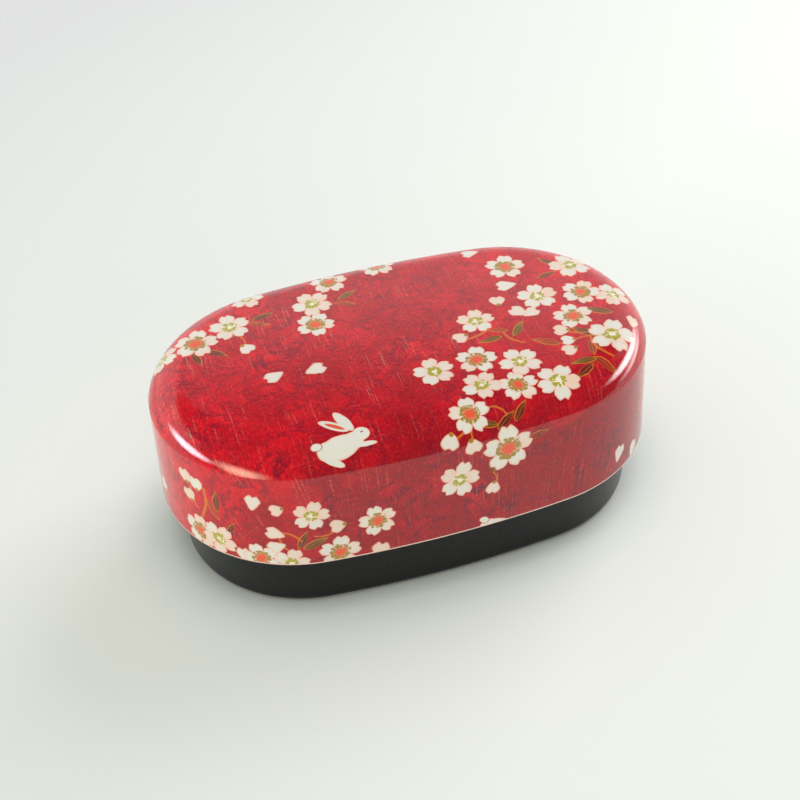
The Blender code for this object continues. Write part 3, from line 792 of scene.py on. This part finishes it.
def hand_drawn(tree, name, unsteady=0.12):
    """A print screen's coordinates, with the slight waver of a hand-drawn outline, and its
    mark, rounded so that it is the same all over the motif and so are the dice cast from it."""
    screen = add(tree, "Attribute", {}, attribute_name=name)
    waver = add(tree, "TexNoise", {"Vector": screen.outputs["Vector"], "Scale": 3.0, "Detail": 1.0})
    waver = add(tree, "VectorMath SUBTRACT", [waver.outputs["Color"], (0.5, 0.5, 0.5)])
    waver = add(tree, "VectorMath SCALE", {0: waver, "Scale": unsteady})
    moved = add(tree, "VectorMath ADD", [screen.outputs["Vector"], waver])
    drawn = add(tree, "SeparateXYZ", [moved])
    plain = add(tree, "SeparateXYZ", [screen.outputs["Vector"]])
    mark = add(tree, "Math MULTIPLY", [plain.outputs["Z"], 10.0])
    mark = add(tree, "Math ROUND", [mark])
    mark = add(tree, "Math DIVIDE", [mark, 10.0])
    return drawn.outputs["X"], drawn.outputs["Y"], mark


def petal_depth(tree, along, across):
    """How far inside one petal a point is. The petal runs from about 0.1 to 1 along its
    middle, is widest near its tip, and has sloping shoulders and a V cut in the tip."""
    middle, half_length, roundness = 0.55, 0.47, 0.36
    half = add(tree, "Math MULTIPLY_ADD", [along, 0.31, 0.195])
    half = add(tree, "Math MAXIMUM", [half, 0.04])
    wide = add(tree, "Math DIVIDE", [across, half])
    wide = add(tree, "Math MULTIPLY", [wide, wide])
    long = add(tree, "Math MULTIPLY_ADD", [along, 1 / half_length, -middle / half_length])
    reach = add(tree, "Math MULTIPLY_ADD", [long, long, wide])
    reach = add(tree, "Math SQRT", [reach])
    inside = add(tree, "Math MULTIPLY_ADD", [reach, -roundness, roundness])
    notch = add(tree, "Math MULTIPLY_ADD", [across, 0.55, 0.785])
    notch = add(tree, "Math MULTIPLY_ADD", [along, -0.88, notch])
    shoulder = add(tree, "Math MULTIPLY_ADD", [across, -0.80, 0.72])
    shoulder = add(tree, "Math MULTIPLY_ADD", [along, -0.54, shoulder])
    inside = add(tree, "Math SMOOTH_MIN", [inside, shoulder, 0.09])
    return add(tree, "Math MINIMUM", [inside, notch])


def tinted_petal(tree, depth, pink):
    """White with a faint green cast, salmon along the edge, some petals pink all over."""
    body = over(tree, linear("#e0d7d2"), pink, linear("#e8c2b4"))
    return over(tree, body, depth, SALMON, 0.0, 0.10, 0.7, 0.0)


def thin_lines(tree, value, level, start, end, strength=1.0):
    """Fine lines where a value passes a level: full up to start from it, and gone at end."""
    off = add(tree, "Math SUBTRACT", [value, level])
    off = add(tree, "Math ABSOLUTE", [off])
    return add(tree, "MapRange", [off, start, end, strength, 0.0])


def print_sprigs(tree, below, name):
    """Thin orange stems, brown-green leaves with a golden outline on one side, and
    leaves that are an outline only."""
    u, v, mark = hand_drawn(tree, name)
    bulge = add(tree, "Math MULTIPLY", [u, u])
    bulge = add(tree, "Math MULTIPLY_ADD", [bulge, -1.0, 1.0])
    bulge = add(tree, "Math MAXIMUM", [bulge, 0.0])
    # stem
    bow = add(tree, "Math MULTIPLY", [bulge, mark])
    stem = thin_lines(tree, v, bow, 0.05, 0.11)
    ends = add(tree, "MapRange", [bulge, 0.0, 0.06, 0.0, 1.0])
    is_stem = add(tree, "Math LESS_THAN", [mark, 1.0])
    stem = add(tree, "Math MULTIPLY", [stem, ends])
    stem = add(tree, "Math MULTIPLY", [stem, is_stem])
    stem = add(tree, "Math MULTIPLY", [stem, 0.85])
    below = over(tree, below, stem, ORANGE)
    # leaf
    side = add(tree, "Math ABSOLUTE", [v])
    taper = add(tree, "Math MULTIPLY_ADD", [u, -0.10, 0.32])
    depth = add(tree, "Math MULTIPLY", [bulge, taper])
    depth = add(tree, "Math SUBTRACT", [depth, side])
    leaf = add(tree, "MapRange", [depth, 0.0, 0.04, 0.0, 1.0])
    is_leaf = add(tree, "Math GREATER_THAN", [mark, 1.5])
    leaf = add(tree, "Math MULTIPLY", [leaf, is_leaf])
    open_leaf = add(tree, "Math GREATER_THAN", [mark, 3.0])
    fill = add(tree, "MapRange", [open_leaf, 0.0, 1.0, 0.85, 0.30])
    fill = add(tree, "Math MULTIPLY", [fill, leaf])
    dice = add(tree, "TexWhiteNoise", {"W": mark}, noise_dimensions="1D")
    green = over(tree, linear("#5c2220"), dice, linear("#625c26"))
    tip = add(tree, "MapRange", [u, 0.1, 1.0, 0.0, 1.0])
    tip = add(tree, "Math MULTIPLY", [tip, dice])
    green = over(tree, green, tip, linear("#9a7428"))
    below = over(tree, below, fill, green)
    rim = add(tree, "MapRange", [depth, 0.05, 0.11, 1.0, 0.0])
    vein = add(tree, "MapRange", [side, 0.02, 0.05, 0.4, 0.0])
    line = add(tree, "Math MAXIMUM", [rim, vein])
    lit = add(tree, "MapRange", [v, -0.15, 0.1, 0.25, 0.9])
    line = add(tree, "Math MULTIPLY", [line, lit])
    line = add(tree, "Math MULTIPLY", [line, leaf])
    return over(tree, below, line, linear("#d98a2c"))


def print_petals(tree, below, name):
    """Loose petals, pointed at the foot, and buds with a small sepal there."""
    u, v, mark = hand_drawn(tree, name)
    bud = add(tree, "Math GREATER_THAN", [mark, 1.0])
    along = add(tree, "Math MULTIPLY_ADD", [u, 0.45, 0.57])
    plump = add(tree, "Math MULTIPLY_ADD", [bud, -0.10, 0.45])
    across = add(tree, "Math MULTIPLY", [v, plump])
    across = add(tree, "Math ABSOLUTE", [across])
    depth = petal_depth(tree, along, across)
    foot = add(tree, "Math MULTIPLY_ADD", [across, -0.80, 0.02])
    foot = add(tree, "Math MULTIPLY_ADD", [along, 0.47, foot])
    foot = add(tree, "Math MULTIPLY_ADD", [bud, 0.3, foot])
    depth = add(tree, "Math SMOOTH_MIN", [depth, foot, 0.09])
    dice = add(tree, "TexWhiteNoise", {"W": mark}, noise_dimensions="1D")
    pink = add(tree, "MapRange", [dice, 0.4, 1.0, 0.0, 0.7])
    colour = tinted_petal(tree, depth, pink)
    below = over(tree, below, depth, colour, -0.02, 0.03, 0.0, 1.0)
    cup = add(tree, "Math ADD", [u, 0.92])
    cup = add(tree, "Math MULTIPLY", [cup, cup])
    cup = add(tree, "Math MULTIPLY_ADD", [v, v, cup])
    cup = add(tree, "MapRange", [cup, 0.05, 0.11, 1.0, 0.0])
    cup = add(tree, "Math MULTIPLY", [cup, bud])
    sepal = over(tree, ORANGE, dice, linear("#9a7a2c"))
    return over(tree, below, cup, sepal)


def print_blossoms(tree, below, name):
    """Five notched petals round a centre with stamens."""
    u, v, mark = hand_drawn(tree, name)
    reach = add(tree, "Math MULTIPLY", [u, u])
    reach = add(tree, "Math MULTIPLY_ADD", [v, v, reach])
    reach = add(tree, "Math SQRT", [reach])
    turn = add(tree, "Math ARCTAN2", [v, u])
    petal = add(tree, "Math MULTIPLY", [turn, PETALS / math.tau])
    number = add(tree, "Math ROUND", [petal])
    aside = add(tree, "Math SUBTRACT", [petal, number])
    aside = add(tree, "Math MULTIPLY", [aside, math.tau / PETALS])
    along = add(tree, "Math MULTIPLY", [add(tree, "Math COSINE", [aside]), reach])
    across = add(tree, "Math MULTIPLY", [add(tree, "Math SINE", [aside]), reach])
    across = add(tree, "Math ABSOLUTE", [across])
    depth = petal_depth(tree, along, across)
    number = add(tree, "Math FLOORED_MODULO", [number, PETALS])
    seed = add(tree, "CombineXYZ", [number, mark, 0.0])
    dice = add(tree, "TexWhiteNoise", [seed], noise_dimensions="3D")
    pink = add(tree, "MapRange", [dice, 0.45, 0.80, 0.0, 1.0])
    at = add(tree, "CombineXYZ", [u, v, mark])
    clouds = add(tree, "TexNoise", {"Vector": at, "Scale": 1.6})
    clouds = add(tree, "MapRange", [clouds, 0.35, 0.65, 0.15, 0.9])
    pink = add(tree, "Math MULTIPLY", [pink, clouds])
    colour = tinted_petal(tree, depth, pink)
    colour = over(tree, colour, reach, linear("#f3b29c"), 0.20, 0.60, 0.45, 0.0)
    mask = add(tree, "MapRange", [depth, -0.012, 0.02, 0.0, 1.0])
    # centre
    olive = add(tree, "Math GREATER_THAN", [mark, 1.0])
    patchy = add(tree, "TexNoise", {"Vector": at, "Scale": 6.5})
    ragged = add(tree, "Math MULTIPLY_ADD", [patchy, 0.34, -0.17])
    ragged = add(tree, "Math ADD", [ragged, reach])
    heart = over(tree, linear("#e4512f"), olive, linear("#eee0cc"))
    colour = over(tree, colour, ragged, heart, 0.22, 0.37, 0.95, 0.0)
    spread = add(tree, "Math MULTIPLY", [mark, 37.0])
    comb = add(tree, "Math MULTIPLY_ADD", [turn, STAMENS, spread])
    comb = add(tree, "Math SINE", [comb])
    middle = add(tree, "Math MULTIPLY_ADD", [olive, -0.14, 0.38])
    ring = add(tree, "Math SUBTRACT", [reach, middle])
    ring = add(tree, "Math ABSOLUTE", [ring])
    ring = add(tree, "MapRange", [ring, 0.08, 0.20, 1.1, -0.9])
    dots = add(tree, "Math MULTIPLY_ADD", [comb, 0.25, ring])
    dots = add(tree, "Math MULTIPLY_ADD", [patchy, 5.5, dots])
    stamens = over(tree, linear("#9c7c1e"), olive, linear("#a49a1c"))
    colour = over(tree, colour, dots, stamens, 3.1, 3.7, 0.0, 0.95)
    heart_mask = add(tree, "MapRange", [reach, 0.22, 0.27, 1.0, 0.0])
    mask = add(tree, "Math MAXIMUM", [mask, heart_mask])
    return over(tree, below, mask, colour)


def print_rabbits(tree, below, name):
    """A plain running rabbit of rounded forms, drawn in millimetres from its middle. A mark
    of 1 leaves out its ears."""
    u, v, mark = hand_drawn(tree, name, 0.04)
    at = add(tree, "CombineXYZ", [u, v, 0.0])
    at = add(tree, "VectorMath SCALE", {0: at, "Scale": RABBIT_SIZE})

    def form(x, y, length, width, turn):
        """How far inside an oval a point is, 1 at its middle and 0 at its outline."""
        place = add(tree, "VectorMath SUBTRACT", [at, (x, y, 0.0)])
        turned = {"Vector": place, "Angle": math.radians(-turn)}
        place = add(tree, "VectorRotate", turned, rotation_type="Z_AXIS")
        place = add(tree, "VectorMath DIVIDE", [place, (length, width, 1.0)])
        place = add(tree, "VectorMath LENGTH", [place])
        return add(tree, "Math SUBTRACT", [1.0, place])

    body = form(-1.4, -4.2, 6.4, 4.0, 8)
    for part, blend in (
        (form(-5.8, -4.6, 3.1, 3.2, 0), 0.25),
        (form(3.6, -3.0, 3.0, 2.9, 30), 0.30),
        (form(6.2, -1.4, 2.7, 2.4, -15), 0.12),
        (add(tree, "Math SUBTRACT", [form(2.3, 5.4, 5.4, 1.8, 109), mark]), 0.05),
        (add(tree, "Math SUBTRACT", [form(-1.2, 4.2, 5.4, 1.75, 139), mark]), 0.05),
        (form(6.4, -5.2, 3.9, 0.8, -4), 0.12),
        (form(-4.6, -8.3, 3.7, 1.2, -34), 0.12),
        (form(-8.7, -2.2, 1.7, 1.2, 5), 0.05),
    ):
        body = add(tree, "Math SMOOTH_MAX", [body, part, blend])
    colour = over(tree, linear("#dfd7d2"), body, SALMON, 0.0, 0.18, 0.8, 0.0)
    lining = add(tree, "Math SUBTRACT", [form(-0.9, 3.9, 3.9, 0.85, 139), mark])
    colour = over(tree, colour, lining, linear("#e05a3e"), 0.0, 0.2, 0.0, 1.0)
    eye = form(6.6, -0.9, 0.5, 0.35, 20)
    colour = over(tree, colour, eye, linear("#7a3a2a"), 0.0, 0.4, 0.0, 1.0)
    ring = thin_lines(tree, form(-8.5, -2.3, 1.8, 1.4, 0), 0.0, 0.05, 0.12)
    inner = add(tree, "MapRange", [body, 0.0, 0.1, 0.0, 1.0])
    ring = add(tree, "Math MULTIPLY", [ring, inner])
    colour = over(tree, colour, ring, linear("#b8604c"))
    return over(tree, below, body, colour, -0.02, 0.03, 0.0, 1.0)


# Ground: mottled red with soft dark veins like old batik. Its colour also holds painted light and
# shade: painted light at the left, a painted reflection haze at the back right, painted shade over
# the front edge and shoulder, and at the front right a darker ground that is partly the print's own
# and partly painted shade. Slub threads run mostly front to back. The weave's specks are drawn
# about twice their 0.4 mm so that they show.
at = add(tree, "Attribute", {}, attribute_name="laid_flat").outputs["Vector"]
across, along = add(tree, "SeparateXYZ", [at]).outputs[:2]
mottle_and_painted_light = add(tree, "TexNoise", {"Vector": at, "Scale": 0.05, "Detail": 5.0, "Roughness": 0.62})
# painted light and shade: lighter at the left and the back right, darker over the front edge and,
# partly as the print's own darker ground, at the front right
for direction, start, end, at_start, at_end in (
    ((1.0, 0.0, 0.0), -90.0, -30.0, 0.16, 0.0),
    ((0.0, 1.0, 0.0), -58.0, -36.0, -0.16, 0.0),
    ((0.7, 0.7, 0.0), 25.0, 65.0, 0.0, 0.12),
    ((0.7, -0.7, 0.0), 50.0, 75.0, 0.0, -0.12),
):
    shade = add(tree, "VectorMath DOT_PRODUCT", [at, direction])
    shade = add(tree, "MapRange", [shade, start, end, at_start, at_end])
    mottle_and_painted_light = add(tree, "Math ADD", [mottle_and_painted_light, shade])
calm = add(tree, "MapRange", [across, -30.0, 60.0, 1.0, 0.45])
skirt = add(tree, "MapRange", [along, -60.0, -46.0, 1.4, 0.0])
tone = over(tree, linear("#a00f1b"), mottle_and_painted_light, linear("#dc1526"), 0.30, 0.64, 0.0, 1.0)
veins = {"Vector": at, "Scale": 0.085, "Detail": 3.5, "Roughness": 0.55, "Distortion": 0.8}
veins = thin_lines(tree, add(tree, "TexNoise", veins), 0.50, 0.0, 0.05)
fade = add(tree, "TexNoise", {"Vector": at, "Scale": 0.05, "Detail": 5.0, "Roughness": 0.7})
fade = add(tree, "MapRange", [fade, 0.40, 0.60, 0.05, 0.80])
veins = add(tree, "Math MULTIPLY", [veins, fade])
plain = add(tree, "Math MAXIMUM", [calm, skirt])
veins = add(tree, "Math MULTIPLY", [veins, plain])
colour = over(tree, tone, veins, linear("#66122a"))
marbling = {"Vector": at, "Scale": 0.05, "Detail": 4.0, "Roughness": 0.5, "Distortion": 1.5}
marbling = thin_lines(tree, add(tree, "TexNoise", marbling), 0.48, 0.0, 0.018, 0.55)
colour = over(tree, colour, marbling, linear("#6a1430"))
blots = add(tree, "TexNoise", {"Vector": at, "Scale": 0.16, "Detail": 4.0, "Roughness": 0.7})
colour = over(tree, colour, blots, linear("#7c1226"), 0.50, 0.72, 0.0, 0.5)
weave = add(tree, "Mapping", {"Vector": at, "Scale": (1.7, 0.7, 1.0)})
weave = add(tree, "TexNoise", {"Vector": weave, "Scale": 1.0, "Detail": 2.0, "Roughness": 0.7})
colour = over(tree, colour, weave, linear("#7a0c1c"), 0.36, 0.50, 0.45, 0.0)
colour = over(tree, colour, weave, linear("#e4383c"), 0.56, 0.72, 0.0, 0.5)
crumbs = add(tree, "TexNoise", {"Vector": at, "Scale": 1.9, "Detail": 1.0})
crumbs = add(tree, "MapRange", [crumbs, 0.42, 0.60, 0.0, 1.0])
worn = add(tree, "TexNoise", {"Vector": at, "Scale": 0.03, "Detail": 2.0})
worn = add(tree, "MapRange", [worn, 0.38, 0.60, 0.25, 1.0])
crumbs = add(tree, "Math MULTIPLY", [crumbs, worn])
crumbs = add(tree, "Math MULTIPLY", [crumbs, calm])
for stretch, strength, thread in (
    ((1.3, 0.06, 1.0), 0.42, "#f4a99c"),
    ((2.1, 0.12, 1.0), 0.28, "#ec7c74"),
    ((0.07, 1.5, 1.0), 0.20, "#ec7c74"),
):
    slub = add(tree, "Mapping", {"Vector": at, "Scale": stretch})
    slub = add(tree, "TexNoise", {"Vector": slub, "Scale": 1.0, "Detail": 1.0})
    slub = add(tree, "MapRange", [slub, 0.62, 0.72, 0.0, strength])
    slub = add(tree, "Math MULTIPLY", [slub, crumbs])
    colour = over(tree, colour, slub, linear(thread))
for kind, print_kind in (
    ("sprig", print_sprigs),
    ("petal", print_petals),
    ("blossom", print_blossoms),
    ("rabbit", print_rabbits),
):
    for name in sorted(printed):
        if name.startswith(kind):
            colour = print_kind(tree, colour, name)

# The cotton is matt, and paler at its trimmed edge. The clear coat gives it a wet gloss and
# ripples faintly over the weave.
height = add(tree, "SeparateXYZ", [add(tree, "TexCoord", {}).outputs["Object"]]).outputs["Z"]
PALE_EDGE = 0.55
pale = (SKIRT_EDGE + PALE_EDGE) * MM
colour = over(tree, colour, height, linear("#e8c4ba"), pale, pale + 0.05 * MM, 1.0, 0.0)
ripple = add(tree, "TexNoise", {"Vector": at, "Scale": 0.9, "Detail": 1.0})
ripple = add(tree, "Bump", {"Height": ripple, "Strength": 0.5, "Distance": 0.03 * MM})
cotton = add(
    tree,
    "BsdfPrincipled",
    {
        "Base Color": colour,
        "Roughness": 0.6,
        "Specular IOR Level": 0.05,
        "Coat Weight": 1.0,
        "Coat Roughness": 0.03,
        "Coat IOR": 1.5,
        "Coat Normal": ripple,
    },
)
add(tree, "OutputMaterial", {"Surface": cotton})
mesh.materials.append(lacquered)
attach(cloth, "cap")
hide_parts("lid_cloth")
